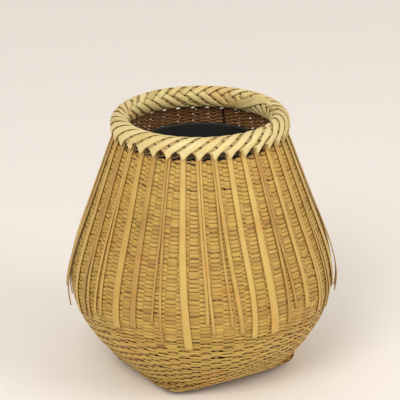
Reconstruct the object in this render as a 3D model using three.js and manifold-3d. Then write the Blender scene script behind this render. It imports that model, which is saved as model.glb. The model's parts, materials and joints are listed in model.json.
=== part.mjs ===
// A bamboo ikebana basket that stands on a table or hangs from a ring at its back.
// A square woven base carries a wall that swells into a round belly and draws in to a narrow neck.
// Loose splints hang down over the wall from the rim, and two hoops hold their tops and the stakes.
// One strip is lashed round the hoops in a herringbone, and a water cup lifts out of the mouth.
// Lengths are in millimetres, +Z is up, and the origin is the middle of the base, on the table.

import * as THREE from "three";
import { mergeVertices } from "three/addons/utils/BufferGeometryUtils.js";
import Module from "manifold-3d";

const wasm = await Module();
wasm.setup();

const FULL_TURN = 2 * Math.PI;
const DEGREE = FULL_TURN / 360;

// Whole basket
const BASKET_HEIGHT = 208;
const BELLY_RADIUS = 101.8;
const BELLY_HEIGHT = 73;
const BASE_HALF_LENGTH = 48.7;
const BASE_HALF_WIDTH = 39.3;
const BASE_TURN = 31.8 * DEGREE;
const BASE_EXPONENT = 9;
const SEAT_GAP = 0.3;

// Stakes and the wall that is woven round them
const PITCH_COUNT = 36;
const PITCH = FULL_TURN / PITCH_COUNT;
const HOLE_START = -86 * DEGREE;
const WALL_COLUMNS = 72;
const WALL_THICKNESS = 1.6;
const STAKE_THICKNESS = 1;
const WEAVE_RELIEF = 0.7;
const HOLE_WIDTH = 6.5;
const HOLE_DROP = 0.4;
const NECK_DROP = 3.2;

// Rim: two hoops with a lashed strip round both
const RIM_RADIUS = 61.2;
const RIM_HALF_WIDTH = 7.2;
const RIM_HALF_HEIGHT = 8.3;
const RIM_LEAN = 22.8 * DEGREE;
const WALL_OFFSET_AT_RIM = 0.3;
const HOOP_COLUMNS = 60;

// Lashing strip
const STRIP_WIDTH = 4;
const STRIP_THICKNESS = 0.5;
const STRIP_GAP = 0.62;
const FORWARD_COUNT = 6;
const BACK_COUNT = 5;

// Loose splints over the wall
const SPLINT_WIDTH = 4.6;
const SPLINT_TOP_WIDTH = 4.2;
const SPLINT_THICKNESS = 0.8;
const SPLINT_TOP_DROP = 3.5;
const SPLINT_STAND_OFF = 4;

// Base
const BASE_THICKNESS = 1.6;
const BASE_FOOT_WIDTH = 3.9;
const BASE_RECESS = 4.9;
const BASE_SLOPE_WIDTH = 4;
const BAR_WIDTH = 8;
const BAR_THICKNESS = 2;
const BAR_TIP_WIDTH = 3;
const BAR_TIP_LENGTH = 4;

// Water cup
const CUP_RIM_RADIUS = 49;
const CUP_FOOT_RADIUS = 36;
const CUP_DROP = 25.4;
const CUP_WALL = 1.8;
const CUP_FLOOR = 2.5;
const CUP_LIP_HEIGHT = 3;
const CUP_LIP_WIDTH = 1.2;
const CUP_COLUMNS = 40;

// Hanging ring and the split pin that holds it
const PIN_DROP = 26.5;
const PIN_AZIMUTH = HOLE_START + 16 * PITCH;
const PIN_RADIUS = 1.2;
const EYE_WIRE_RADIUS = 0.9;
const EYE_CLEARANCE = 0.45;
const RING_RADIUS = 12.5;
const RING_WIRE_RADIUS = 1.25;
const RING_LEAN_IN = 3 * DEGREE;
const LEG_LENGTH = 8;
const LEG_WIDTH = 1.9;
const LEG_THICKNESS = 0.9;

// Colours
const bamboo = material(0xcfa653, 0.62, 0);
const paleBamboo = material(0xead48a, 0.5, 0);
const darkBamboo = material(0x9a6c34, 0.7, 0);
const splintBamboo = material(0xd7ab58, 0.55, 0);
const cupBlack = material(0x1e2124, 0.4, 0);
const agedIron = material(0x4a4038, 0.55, 0.8);

function material(color, roughness, metalness) {
  return new THREE.MeshStandardMaterial({ color, roughness, metalness });
}

// Surfaces from rings of points

function signedVolume(position, index) {
  const [a, b, c] = [new THREE.Vector3(), new THREE.Vector3(), new THREE.Vector3()];
  let volume = 0;
  for (let i = 0; i < index.length; i += 3) {
    a.fromBufferAttribute(position, index[i]);
    b.fromBufferAttribute(position, index[i + 1]);
    c.fromBufferAttribute(position, index[i + 2]);
    volume += a.dot(b.cross(c)) / 6;
  }
  return volume;
}

// Joins rings of points with equal counts into one skin, whose faces are turned outwards.
// A loop joins the last ring to the first, and otherwise each end is closed by a fan.
function skin(rings, loop) {
  const points = rings.flat();
  const count = rings[0].length;
  const index = [];
  const spans = loop ? rings.length : rings.length - 1;
  for (let ring = 0; ring < spans; ring++) {
    const here = ring * count;
    const next = ((ring + 1) % rings.length) * count;
    for (let i = 0; i < count; i++) {
      const j = (i + 1) % count;
      index.push(here + i, here + j, next + j, here + i, next + j, next + i);
    }
  }
  if (!loop) {
    const last = (rings.length - 1) * count;
    fan(points, index, 0, count, true);
    fan(points, index, last, count, false);
  }
  const geometry = new THREE.BufferGeometry().setFromPoints(points);
  if (signedVolume(geometry.attributes.position, index) < 0) index.reverse();
  geometry.setIndex(index);
  return geometry;
}

function fan(points, index, start, count, reversed) {
  const few = count <= 4;
  const centre = few ? start : points.length;
  if (!few) {
    const middle = new THREE.Vector3();
    for (let i = 0; i < count; i++) middle.addScaledVector(points[start + i], 1 / count);
    points.push(middle);
  }
  for (let i = few ? 1 : 0; i < (few ? count - 1 : count); i++) {
    const [a, b] = [start + i, start + ((i + 1) % count)];
    index.push(...(reversed ? [centre, b, a] : [centre, a, b]));
  }
}

// Turns a closed profile of radii and heights round the Z axis.
function turned(profile, columns) {
  const points = profile.map(([radius, height]) => new THREE.Vector2(radius, height));
  const geometry = bare(new THREE.LatheGeometry(points, columns).rotateX(FULL_TURN / 4));
  const index = Array.from(geometry.index.array);
  const kept = [];
  for (let i = 0; i < index.length; i += 3) {
    const [a, b, c] = index.slice(i, i + 3);
    if (a !== b && b !== c && c !== a) kept.push(a, b, c);
  }
  if (signedVolume(geometry.attributes.position, kept) < 0) kept.reverse();
  return geometry.setIndex(kept);
}

function bare(geometry) {
  geometry.deleteAttribute("normal");
  geometry.deleteAttribute("uv");
  return mergeVertices(geometry);
}

function solid(geometry) {
  const merged = bare(geometry.clone());
  return new wasm.Manifold(
    new wasm.Mesh({
      numProp: 3,
      vertProperties: merged.attributes.position.array,
      triVerts: new Uint32Array(merged.index.array),
    }),
  );
}

function fromSolid(manifold) {
  const { vertProperties, triVerts } = manifold.getMesh();
  const geometry = new THREE.BufferGeometry();
  geometry.setAttribute("position", new THREE.BufferAttribute(vertProperties, 3));
  geometry.setIndex(new THREE.BufferAttribute(triVerts, 1));
  return geometry;
}

function mesh(name, geometry, finish) {
  const made = new THREE.Mesh(geometry, finish);
  made.name = name;
  return made;
}

// Shape of the wall

const rimHeight = BASKET_HEIGHT - RIM_HALF_HEIGHT;
const coreHalfWidth = RIM_HALF_WIDTH - 2 * (STRIP_GAP + STRIP_THICKNESS);
const coreHalfHeight = RIM_HALF_HEIGHT - 2 * (STRIP_GAP + STRIP_THICKNESS);
const wallTop = rimHeight + coreHalfHeight - SPLINT_TOP_DROP / 2;
const holeBottom = rimHeight - RIM_HALF_HEIGHT - HOLE_DROP;
const neckHeight = rimHeight - RIM_HALF_HEIGHT - NECK_DROP;
const pinHeight = BASKET_HEIGHT - PIN_DROP;
const wallBottom = BASE_THICKNESS + SEAT_GAP;

// Radius of the stakes' outer face in and just below the rim, where the wall runs straight.
function leaningRadius(height) {
  const middle = RIM_RADIUS + WALL_OFFSET_AT_RIM;
  const outer = middle + STAKE_THICKNESS / 2 / Math.cos(RIM_LEAN);
  return outer - (height - rimHeight) * Math.tan(RIM_LEAN);
}

// Each row below is a height share and a radius share. Under the belly they run from the base to the
// belly, and over it from the belly to the neck.
const LOWER_ROW_SHARES = [
  [0, 0],
  [0.041, 0.135],
  [0.137, 0.32],
  [0.247, 0.471],
  [0.384, 0.633],
  [0.493, 0.74],
  [0.63, 0.848],
  [0.795, 0.95],
  [1, 1],
];
const LOWER_EXPONENTS = [BASE_EXPONENT, 7.6, 3.2, 2.5, 2.25, 2.15, 2.1, 2, 2];
const STRETCH_SHARES = [1, 0.8, 0.2, 0.08, 0.03, 0, 0, 0, 0];
const UPPER_ROW_SHARES = [
  [0.086, 0.971],
  [0.172, 0.942],
  [0.258, 0.861],
  [0.344, 0.78],
  [0.452, 0.6525],
  [0.56, 0.525],
  [0.689, 0.3725],
  [0.818, 0.22],
  [0.909, 0.11],
  [1, 0],
];
const ROUND_EXPONENT = 2;

// The base is an oblong with rounded corners, and the wall turns round above it.
const baseRadius = (BASE_HALF_LENGTH + BASE_HALF_WIDTH) / 2;
const baseStretch = (BASE_HALF_LENGTH - BASE_HALF_WIDTH) / (BASE_HALF_LENGTH + BASE_HALF_WIDTH);
const neckRadius = leaningRadius(neckHeight);
const wallRows = [
  ...LOWER_ROW_SHARES.map(([heightShare, radiusShare], i) => ({
    height: heightShare * BELLY_HEIGHT,
    radius: baseRadius + radiusShare * (BELLY_RADIUS - baseRadius),
    exponent: LOWER_EXPONENTS[i],
    stretch: STRETCH_SHARES[i] * baseStretch,
  })),
  ...UPPER_ROW_SHARES.map(([heightShare, radiusShare]) => ({
    height: BELLY_HEIGHT + heightShare * (neckHeight - BELLY_HEIGHT),
    radius: neckRadius + radiusShare * (BELLY_RADIUS - neckRadius),
    exponent: ROUND_EXPONENT,
    stretch: 0,
  })),
  { height: wallTop, radius: leaningRadius(wallTop), exponent: ROUND_EXPONENT, stretch: 0 },
];
for (const [i, row] of wallRows.entries()) {
  const below = wallRows[Math.max(i - 1, 0)];
  const above = wallRows[Math.min(i + 1, wallRows.length - 1)];
  row.lean = Math.atan2(above.radius - below.radius, above.height - below.height);
}

// A point on a rounded oblong whose sides are one radius from the axis, more or less by its stretch.
function onOutline(azimuth, radius, height, exponent, stretch) {
  const turn = azimuth - BASE_TURN;
  const along = Math.abs(Math.cos(turn)) / (1 + stretch);
  const across = Math.abs(Math.sin(turn)) / (1 - stretch);
  const reach = radius * (along ** exponent + across ** exponent) ** (-1 / exponent);
  return new THREE.Vector3(reach * Math.cos(azimuth), reach * Math.sin(azimuth), height);
}

// A point that stands off a wall row's outer face, square to the wall.
function offRow(row, azimuth, standOff) {
  const radius = row.radius + standOff * Math.cos(row.lean);
  const height = row.height - standOff * Math.sin(row.lean);
  return onOutline(azimuth, radius, height, row.exponent, row.stretch);
}

// The same at any height, straight between the rows on both sides.
function offWall(height, azimuth, standOff) {
  const above = Math.max(1, wallRows.findIndex((row) => row.height >= height));
  const [low, high] = [wallRows[above - 1], wallRows[above]];
  const share = (height - low.height) / (high.height - low.height);
  return offRow(low, azimuth, standOff).lerp(offRow(high, azimuth, standOff), share);
}

function wallRadius(height) {
  const point = offWall(height, BASE_TURN, 0);
  return Math.hypot(point.x, point.y);
}

function wallLean(height) {
  const above = Math.max(1, wallRows.findIndex((row) => row.height >= height));
  const [low, high] = [wallRows[above - 1], wallRows[above]];
  return Math.atan2(high.radius - low.radius, high.height - low.height);
}

function azimuths(columns, start) {
  return Array.from({ length: columns }, (_, i) => start + (i * FULL_TURN) / columns);
}

// A box or pin that lies along the wall at a height and an azimuth: its X is tangent, its Y points
// out square to the wall, and its Z runs up the wall.
function alongWall(height, azimuth, standOff) {
  const place = offWall(height, azimuth, standOff);
  const lean = new THREE.Matrix4().makeRotationX(-wallLean(height));
  const turn = new THREE.Matrix4().makeRotationZ(azimuth - FULL_TURN / 4);
  return new THREE.Matrix4().makeTranslation(place).multiply(turn).multiply(lean);
}

const CUT_OVERRUN = 5;

// Woven wall: a shell with an open mouth, whose stakes stand free above the last weaver. Its outer
// face goes in and out from one stake and row to the next, as a coarse form of the weave.
function wovenWall() {
  const columns = azimuths(WALL_COLUMNS, HOLE_START);
  const rows = [wallBottom, ...wallRows.map((row) => row.height).filter((h) => h > wallBottom)];
  const firstWoven = 2;
  const outer = rows.map((height, row) =>
    columns.map((azimuth, column) => {
      const woven = row >= firstWoven && height < neckHeight;
      const behind = woven && (row + column) % 2 === 0;
      return offWall(height, azimuth, behind ? -WEAVE_RELIEF : 0);
    }),
  );
  const innerStep = (i) => (i < LOWER_ROW_SHARES.length ? 2 : 4);
  const inner = wallRows
    .filter((row, i) => row.height > wallBottom && (i % innerStep(i) === 0 || i > wallRows.length - 3))
    .map((row) => {
      const thickness = row.height < neckHeight ? WALL_THICKNESS : STAKE_THICKNESS;
      return columns.map((azimuth) => offRow(row, azimuth, -thickness));
    });
  const foot = outer[0].map((point) => {
    const lean = wallLean(wallBottom);
    const radius = Math.hypot(point.x, point.y);
    const share = 1 - WALL_THICKNESS / Math.cos(lean) / radius;
    return new THREE.Vector3(point.x * share, point.y * share, point.z);
  });
  const shell = solid(skin([...outer, ...inner.reverse(), foot], true));
  const slotHeight = wallTop - holeBottom + CUT_OVERRUN;
  const slotDepth = 2 * CUT_OVERRUN + WALL_THICKNESS;
  const slots = azimuths(PITCH_COUNT, HOLE_START).map((azimuth) => {
    const box = new THREE.BoxGeometry(HOLE_WIDTH, slotDepth, slotHeight);
    box.translate(0, 0, slotHeight / 2);
    return solid(box.applyMatrix4(alongWall(holeBottom, azimuth, 0)));
  });
  const pinHole = new THREE.CylinderGeometry(
    PIN_RADIUS + SEAT_GAP,
    PIN_RADIUS + SEAT_GAP,
    2 * CUT_OVERRUN,
    8,
  ).applyMatrix4(alongWall(pinHeight, PIN_AZIMUTH, 0));
  const cuts = wasm.Manifold.union([...slots, solid(pinHole)]);
  return mesh("woven_wall", fromSolid(shell.subtract(cuts)), bamboo);
}

// Woven base: a mat raised in the middle, whose turned-down edge is the foot of the basket.
function wovenBase() {
  const columns = azimuths(WALL_COLUMNS, HOLE_START);
  const floorLean = wallLean(wallBottom);
  const footInner = baseRadius - BASE_FOOT_WIDTH;
  const recessEdge = footInner - BASE_SLOPE_WIDTH;
  const shoulder = baseRadius + BASE_THICKNESS * Math.tan(floorLean) - SEAT_GAP / 2;
  const profile = [
    [recessEdge, BASE_RECESS],
    [footInner, 0],
    [baseRadius, 0],
    [shoulder, BASE_THICKNESS],
    [footInner + SEAT_GAP, BASE_THICKNESS],
    [recessEdge + SEAT_GAP, BASE_RECESS + BASE_THICKNESS],
  ];
  const rings = profile.map(([radius, height]) =>
    columns.map((azimuth) => onOutline(azimuth, radius, height, BASE_EXPONENT, baseStretch)),
  );
  return mesh("woven_base", skin(rings, false), bamboo);
}

// Two strength bars cross corner to corner in the recess under the mat.
function baseBar(name, level, azimuth) {
  const bottom = SEAT_GAP + level * (BAR_THICKNESS + SEAT_GAP);
  const top = bottom + BAR_THICKNESS;
  const slopeShare = top / BASE_RECESS;
  const reachRadius = baseRadius - BASE_FOOT_WIDTH - slopeShare * BASE_SLOPE_WIDTH;
  const corner = onOutline(azimuth, reachRadius, 0, BASE_EXPONENT, baseStretch);
  const halfLength = corner.length() - BAR_TIP_WIDTH / 2;
  const outline = new THREE.Shape([
    new THREE.Vector2(-halfLength, -BAR_TIP_WIDTH / 2),
    new THREE.Vector2(BAR_TIP_LENGTH - halfLength, -BAR_WIDTH / 2),
    new THREE.Vector2(halfLength - BAR_TIP_LENGTH, -BAR_WIDTH / 2),
    new THREE.Vector2(halfLength, -BAR_TIP_WIDTH / 2),
    new THREE.Vector2(halfLength, BAR_TIP_WIDTH / 2),
    new THREE.Vector2(halfLength - BAR_TIP_LENGTH, BAR_WIDTH / 2),
    new THREE.Vector2(BAR_TIP_LENGTH - halfLength, BAR_WIDTH / 2),
    new THREE.Vector2(-halfLength, BAR_TIP_WIDTH / 2),
  ]);
  const geometry = new THREE.ExtrudeGeometry(outline, { depth: BAR_THICKNESS, bevelEnabled: false });
  const bar = mesh(name, geometry, darkBamboo);
  bar.rotation.z = azimuth;
  bar.position.z = bottom;
  return bar;
}

// Rim hoops: an oval bundle split along the leaning wall, one hoop outside it and one inside.
const splintLayer = SEAT_GAP + SPLINT_THICKNESS + SEAT_GAP;

// The angles at which the oval core meets a line parallel to the wall, offset outwards.
function chordAngles(offset) {
  const across = Math.cos(RIM_LEAN) * coreHalfWidth;
  const along = Math.sin(RIM_LEAN) * coreHalfHeight;
  const middle = Math.atan2(along, across);
  const spread = Math.acos((WALL_OFFSET_AT_RIM * Math.cos(RIM_LEAN) + offset) / Math.hypot(across, along));
  return [middle - spread, middle + spread];
}

function onCore(angle, standOff) {
  const normal = new THREE.Vector2(Math.cos(angle) / coreHalfWidth, Math.sin(angle) / coreHalfHeight);
  normal.normalize().multiplyScalar(standOff);
  const radius = RIM_RADIUS + coreHalfWidth * Math.cos(angle) + normal.x;
  const height = rimHeight + coreHalfHeight * Math.sin(angle) + normal.y;
  return [radius, height];
}

function hoop(name, from, to, arcSteps) {
  const arc = Array.from({ length: arcSteps + 1 }, (_, i) => onCore(from + ((to - from) * i) / arcSteps, 0));
  return mesh(name, turned([...arc, arc[0]], HOOP_COLUMNS), darkBamboo);
}

function rimHoops() {
  const [outerLow, outerHigh] = chordAngles(STAKE_THICKNESS / 2 + splintLayer);
  const [innerLow, innerHigh] = chordAngles(-STAKE_THICKNESS / 2 - SEAT_GAP);
  return [
    hoop("outer_rim_hoop", outerLow, outerHigh, 4),
    hoop("inner_rim_hoop", innerHigh, innerLow + FULL_TURN, 6),
  ];
}

// Lashing: one strip goes six holes forward over the rim and five back, and passes out through each
// hole twice. Outside, the forward runs lie over the back runs, and inside they lie under them. They
// change over along a spine, a little inside the crest of the rim.
const HOLE_ANGLE = -55 * DEGREE;
const SPINE_ANGLE = 144 * DEGREE;
const SPINE_SHARE = (SPINE_ANGLE - HOLE_ANGLE) / FULL_TURN;
const IN_HOLE_SHARE = 0.05;
const FIRST_SWITCH_SHARES = [0.505, 0.532];
const SECOND_SWITCH_SHARES = [0.57, 0.591];
const RUN_SHARES = [
  ...[0, IN_HOLE_SHARE, 0.13, 0.22, 0.31, 0.41],
  ...FIRST_SWITCH_SHARES,
  ...SECOND_SWITCH_SHARES,
  ...[0.66, 0.76, 0.86, 1 - IN_HOLE_SHARE],
];

function ramp(value, [from, to]) {
  return Math.min(1, Math.max(0, (value - from) / (to - from)));
}

// How far along the rim a run has gone, out of its whole advance.
function advance(share) {
  return (ramp(share, [IN_HOLE_SHARE, SPINE_SHARE]) + ramp(share, [SPINE_SHARE, 1 - IN_HOLE_SHARE])) / 2;
}

// Which layer each edge of a run is in, near edge first. Its edges change layer one after the other,
// each in the gap between two of the runs that cross it.
function edgeLayers(share, forward) {
  const first = ramp(share, FIRST_SWITCH_SHARES);
  const second = ramp(share, SECOND_SWITCH_SHARES);
  return forward ? [1 - second, 1 - first] : [first, second];
}

function onRim(angle, standOff, azimuth) {
  const [radius, height] = onCore(angle, standOff);
  return new THREE.Vector3(radius * Math.cos(azimuth), radius * Math.sin(azimuth), height);
}

function lashingPlaces() {
  const places = [];
  for (let turn = 0; turn < PITCH_COUNT; turn++) {
    for (const forward of [true, false]) {
      for (const share of RUN_SHARES) {
        const gone = advance(share);
        const ahead = forward ? FORWARD_COUNT * gone : FORWARD_COUNT - BACK_COUNT * gone;
        places.push({
          run: 2 * turn + (forward ? 0 : 1),
          azimuth: HOLE_START + (turn + ahead) * PITCH,
          angle: HOLE_ANGLE + share * FULL_TURN,
          layers: edgeLayers(share, forward),
        });
      }
    }
  }
  return places;
}

// The strip's four corners at each place, all at one angle round the core, so that the layers stay
// parallel. A slanting run is wider along the rim by its slant.
function lashingRings() {
  const places = lashingPlaces();
  const middles = places.map(({ angle, azimuth }) => onRim(angle, STRIP_GAP + STRIP_THICKNESS, azimuth));
  return places.map(({ angle, azimuth, layers, run }, i) => {
    const before = middles[i].clone().sub(middles[Math.max(i - 1, 0)]).normalize();
    const after = middles[Math.min(i + 1, middles.length - 1)].clone().sub(middles[i]).normalize();
    const tangent = new THREE.Vector3(-Math.sin(azimuth), Math.cos(azimuth), 0);
    const slope = before.add(after).normalize().dot(tangent);
    const halfWidth = STRIP_WIDTH / 2 / Math.sqrt(1 - slope * slope);
    const halfAngle = halfWidth / Math.hypot(middles[i].x, middles[i].y);
    const [near, far] = layers.map((layer) => STRIP_GAP + layer * (STRIP_THICKNESS + STRIP_GAP));
    const corners = [
      onRim(angle, near, azimuth - halfAngle),
      onRim(angle, far, azimuth + halfAngle),
      onRim(angle, far + STRIP_THICKNESS, azimuth + halfAngle),
      onRim(angle, near + STRIP_THICKNESS, azimuth - halfAngle),
    ];
    return { corners, run };
  });
}

// Points over the two broad faces of one run, for measuring.
function runPoints(rings, run, steps) {
  const own = rings.filter((ring) => ring.run === run).map((ring) => ring.corners);
  const points = [];
  for (let i = 0; i + 1 < own.length; i++) {
    for (let j = 0; j < steps; j++) {
      const corners = own[i].map((corner, n) => corner.clone().lerp(own[i + 1][n], j / steps));
      for (let n = 0; n < corners.length; n += 2) {
        for (let m = 0; m <= steps; m++) points.push(corners[n].clone().lerp(corners[n + 1], m / steps));
      }
    }
  }
  return points;
}

function leastGap(rings) {
  const steps = 6;
  const middle = PITCH_COUNT;
  const reach = 2 * (FORWARD_COUNT + BACK_COUNT);
  let least = Infinity;
  for (const run of [middle, middle + 1]) {
    const points = runPoints(rings, run, steps);
    for (let other = middle - reach; other <= middle + reach; other++) {
      if (Math.abs(other - run) <= 1) continue;
      for (const there of runPoints(rings, other, steps)) {
        for (const here of points) least = Math.min(least, here.distanceToSquared(there));
      }
    }
  }
  return Math.sqrt(least);
}

function rimLashing() {
  const rings = lashingRings();
  console.log("rim lashing: least gap to itself " + leastGap(rings).toFixed(2) + " mm");
  return mesh("rim_lashing", skin(rings.map((ring) => ring.corners), false), paleBamboo);
}

// Loose splints: each tip height is a share of the belly height, and each lean a share of a pitch.
const SPLINT_START = HOLE_START + PITCH / 2 - 9 * PITCH;
const SPLINT_TIP_SHARES = [
  0.84, 0.8, 0.86, 0.95, 0.88, 0.93, 0.81, 0.74, 0.92, 0.9, 0.83, 0.84, 0.91, 0.99, 0.87, 0.8, 0.98, 0.85,
  0.78, 0.9, 0.94, 0.82, 0.88, 0.76, 0.86, 0.93, 0.81, 0.89, 0.97, 0.84, 0.79, 0.91, 0.87, 0.94, 0.83, 0.89,
];
const SPLINT_LEAN_SHARES = [0.15, 0.3, 0.2, 0.1, 0.25, 0.05, 0.2, 0.5, 0.45, 0.6, 0.4, 0.35, 0.3];
const SPLINT_WIDTH_SHARES = [1, 0.85, 1.1, 0.9, 1.15, 0.95, 0.8];
const LIFTED_SPLINTS = [0, 17];

// A splint bends at each of the wall's lower rows, and at every second one over the belly, where the
// rows between lie in line.
const splintHeights = wallRows
  .filter((row, i) => i < LOWER_ROW_SHARES.length || (i - LOWER_ROW_SHARES.length) % 2 === 1)
  .map((row) => row.height);

function splint(number) {
  const azimuth = SPLINT_START + number * PITCH;
  const tip = BELLY_HEIGHT * SPLINT_TIP_SHARES[number % SPLINT_TIP_SHARES.length];
  const top = wallTop - SPLINT_TOP_DROP / 2;
  const lean = PITCH * SPLINT_LEAN_SHARES[number % SPLINT_LEAN_SHARES.length];
  const width = SPLINT_WIDTH * SPLINT_WIDTH_SHARES[number % SPLINT_WIDTH_SHARES.length];
  const lift = LIFTED_SPLINTS.includes(number) ? SPLINT_STAND_OFF : 0;
  const heights = splintHeights.filter((height) => height > tip && height < top);
  const rings = [tip, ...heights, top].map((height) => {
    const fallen = Math.max(0, (holeBottom - height) / (holeBottom - tip));
    const middle = azimuth + lean * fallen;
    const halfWidth = (SPLINT_TOP_WIDTH + (width - SPLINT_TOP_WIDTH) * Math.min(1, 2 * fallen)) / 2;
    const halfAngle = halfWidth / wallRadius(height);
    const standOff = SEAT_GAP + lift * fallen ** 3;
    return [
      offWall(height, middle - halfAngle, standOff),
      offWall(height, middle + halfAngle, standOff),
      offWall(height, middle + halfAngle, standOff + SPLINT_THICKNESS),
      offWall(height, middle - halfAngle, standOff + SPLINT_THICKNESS),
    ];
  });
  const name = "splint_" + String(number + 1).padStart(2, "0");
  return mesh(name, skin(rings, false), splintBamboo);
}

// Water cup: a plain tapered beaker with a small lip, standing loose on the mat.
function waterCup() {
  const bottom = BASE_RECESS + BASE_THICKNESS + SEAT_GAP;
  const top = BASKET_HEIGHT - CUP_DROP;
  const side = CUP_RIM_RADIUS - CUP_LIP_WIDTH;
  const floorTop = bottom + CUP_FLOOR;
  const profile = [
    [0, bottom],
    [CUP_FOOT_RADIUS - CUP_FLOOR, bottom],
    [CUP_FOOT_RADIUS, floorTop],
    [side, top - CUP_LIP_HEIGHT],
    [CUP_RIM_RADIUS, top - CUP_LIP_HEIGHT + CUP_LIP_WIDTH / 2],
    [CUP_RIM_RADIUS, top - CUP_LIP_WIDTH / 2],
    [side, top],
    [side - CUP_WALL, top],
    [CUP_FOOT_RADIUS - CUP_WALL, floorTop + CUP_WALL],
    [CUP_FOOT_RADIUS - 2 * CUP_WALL, floorTop],
    [0, floorTop],
  ];
  return mesh("water_cup", turned(profile, CUP_COLUMNS), cupBlack);
}

// Hanging ring and its split pin. The pin's eye stands square to the wall, outside it.
const eyeRadius = RING_WIRE_RADIUS + EYE_CLEARANCE + EYE_WIRE_RADIUS;
const pivotStandOff = SEAT_GAP + EYE_WIRE_RADIUS + eyeRadius;

function splitPin() {
  const place = alongWall(pinHeight, PIN_AZIMUTH, 0);
  const eye = new THREE.TorusGeometry(eyeRadius, EYE_WIRE_RADIUS, 8, 20);
  eye.rotateY(FULL_TURN / 4).translate(0, pivotStandOff, 0);
  const inside = WALL_THICKNESS + SEAT_GAP + LEG_THICKNESS;
  const shankLength = inside + SEAT_GAP + EYE_WIRE_RADIUS;
  const shank = new THREE.CylinderGeometry(PIN_RADIUS, PIN_RADIUS, shankLength, 8);
  shank.translate(0, SEAT_GAP + EYE_WIRE_RADIUS - shankLength / 2, 0);
  const legs = new THREE.BoxGeometry(LEG_WIDTH, LEG_THICKNESS, 2 * LEG_LENGTH);
  legs.translate(0, LEG_THICKNESS / 2 - inside, 0);
  const joined = wasm.Manifold.union([solid(eye), solid(shank), solid(legs)]);
  const pin = mesh("ring_pin", fromSolid(joined), agedIron);
  pin.applyMatrix4(place);
  return pin;
}

function hangingRing() {
  const geometry = new THREE.TorusGeometry(RING_RADIUS, RING_WIRE_RADIUS, 8, 24);
  geometry.rotateX(FULL_TURN / 4).translate(0, 0, -RING_RADIUS);
  const ring = mesh("hanging_ring", geometry, agedIron);
  const place = alongWall(pinHeight, PIN_AZIMUTH, pivotStandOff);
  ring.applyMatrix4(place.multiply(new THREE.Matrix4().makeRotationX(-RING_LEAN_IN)));
  return ring;
}

const basket = new THREE.Group();
const cornerSpread = Math.atan2(BASE_HALF_WIDTH, BASE_HALF_LENGTH);
basket.add(
  wovenWall(),
  wovenBase(),
  baseBar("lower_base_bar", 0, BASE_TURN + cornerSpread),
  baseBar("upper_base_bar", 1, BASE_TURN - cornerSpread),
  ...rimHoops(),
  rimLashing(),
  waterCup(),
  splitPin(),
  hangingRing(),
);
for (let number = 0; number < PITCH_COUNT; number++) basket.add(splint(number));

export default basket;
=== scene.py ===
import json
import math

import bpy
import numpy as np
from mathutils import Matrix, Vector


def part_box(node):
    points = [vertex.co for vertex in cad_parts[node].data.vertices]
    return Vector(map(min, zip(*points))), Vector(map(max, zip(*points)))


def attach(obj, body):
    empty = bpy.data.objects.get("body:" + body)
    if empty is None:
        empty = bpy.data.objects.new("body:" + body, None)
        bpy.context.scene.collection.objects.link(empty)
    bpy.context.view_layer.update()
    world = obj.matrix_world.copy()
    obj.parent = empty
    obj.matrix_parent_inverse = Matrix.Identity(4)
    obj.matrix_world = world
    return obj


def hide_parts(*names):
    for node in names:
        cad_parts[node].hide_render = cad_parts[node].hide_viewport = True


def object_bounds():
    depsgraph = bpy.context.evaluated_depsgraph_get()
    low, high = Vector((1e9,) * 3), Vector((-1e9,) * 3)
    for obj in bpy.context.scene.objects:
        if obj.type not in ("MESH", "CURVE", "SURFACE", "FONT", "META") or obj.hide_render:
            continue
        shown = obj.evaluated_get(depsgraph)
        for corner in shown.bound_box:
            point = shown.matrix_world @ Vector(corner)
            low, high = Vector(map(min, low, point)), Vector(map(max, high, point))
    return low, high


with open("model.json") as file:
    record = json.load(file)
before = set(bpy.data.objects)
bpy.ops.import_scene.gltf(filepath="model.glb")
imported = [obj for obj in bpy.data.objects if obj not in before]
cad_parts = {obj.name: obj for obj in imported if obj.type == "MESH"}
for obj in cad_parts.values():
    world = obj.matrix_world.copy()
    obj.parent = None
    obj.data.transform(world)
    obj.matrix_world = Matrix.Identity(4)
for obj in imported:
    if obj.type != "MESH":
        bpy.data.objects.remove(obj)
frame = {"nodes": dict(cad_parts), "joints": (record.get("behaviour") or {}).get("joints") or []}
cad_low, cad_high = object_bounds()

# Camera
# The basket is seen from the front and a little above, through a long lens, as on a studio table.
# The focal length and the place come from the photograph's own perspective.

IMAGE_SIDE = 400
FOCAL_PIXELS = 2290
SENSOR_WIDTH = 36
CAMERA_HEIGHT = 0.7673
CAMERA_BACK = 1.6481
CAMERA_DIP = 0.366
CAMERA_ROLL = 0.010
CONTENT_SHIFT_PIXELS = 0.8

lens_data = bpy.data.cameras.new("studio_camera")
lens_data.sensor_width = SENSOR_WIDTH
lens_data.lens = FOCAL_PIXELS / IMAGE_SIDE * SENSOR_WIDTH
lens_data.shift_x = -CONTENT_SHIFT_PIXELS / IMAGE_SIDE
camera = bpy.data.objects.new("studio_camera", lens_data)
forward = Vector((0, math.cos(CAMERA_DIP), -math.sin(CAMERA_DIP)))
level_right = Vector((1, 0, 0))
level_up = Vector((0, math.sin(CAMERA_DIP), math.cos(CAMERA_DIP)))
right = level_right * math.cos(CAMERA_ROLL) - level_up * math.sin(CAMERA_ROLL)
up = level_right * math.sin(CAMERA_ROLL) + level_up * math.cos(CAMERA_ROLL)
turn = Matrix((right, up, -forward)).transposed().to_4x4()
camera.matrix_world = Matrix.Translation((0, -CAMERA_BACK, CAMERA_HEIGHT)) @ turn
bpy.context.scene.collection.objects.link(camera)
bpy.context.scene.camera = camera
bpy.context.scene.view_settings.view_transform = "Standard"

# Table and backdrop
# A pale warm sheet runs under the basket and curves up behind it. Two broad soft lamps and an even
# surround light it, so the only shadow is the soft one where the base meets the sheet.

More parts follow.
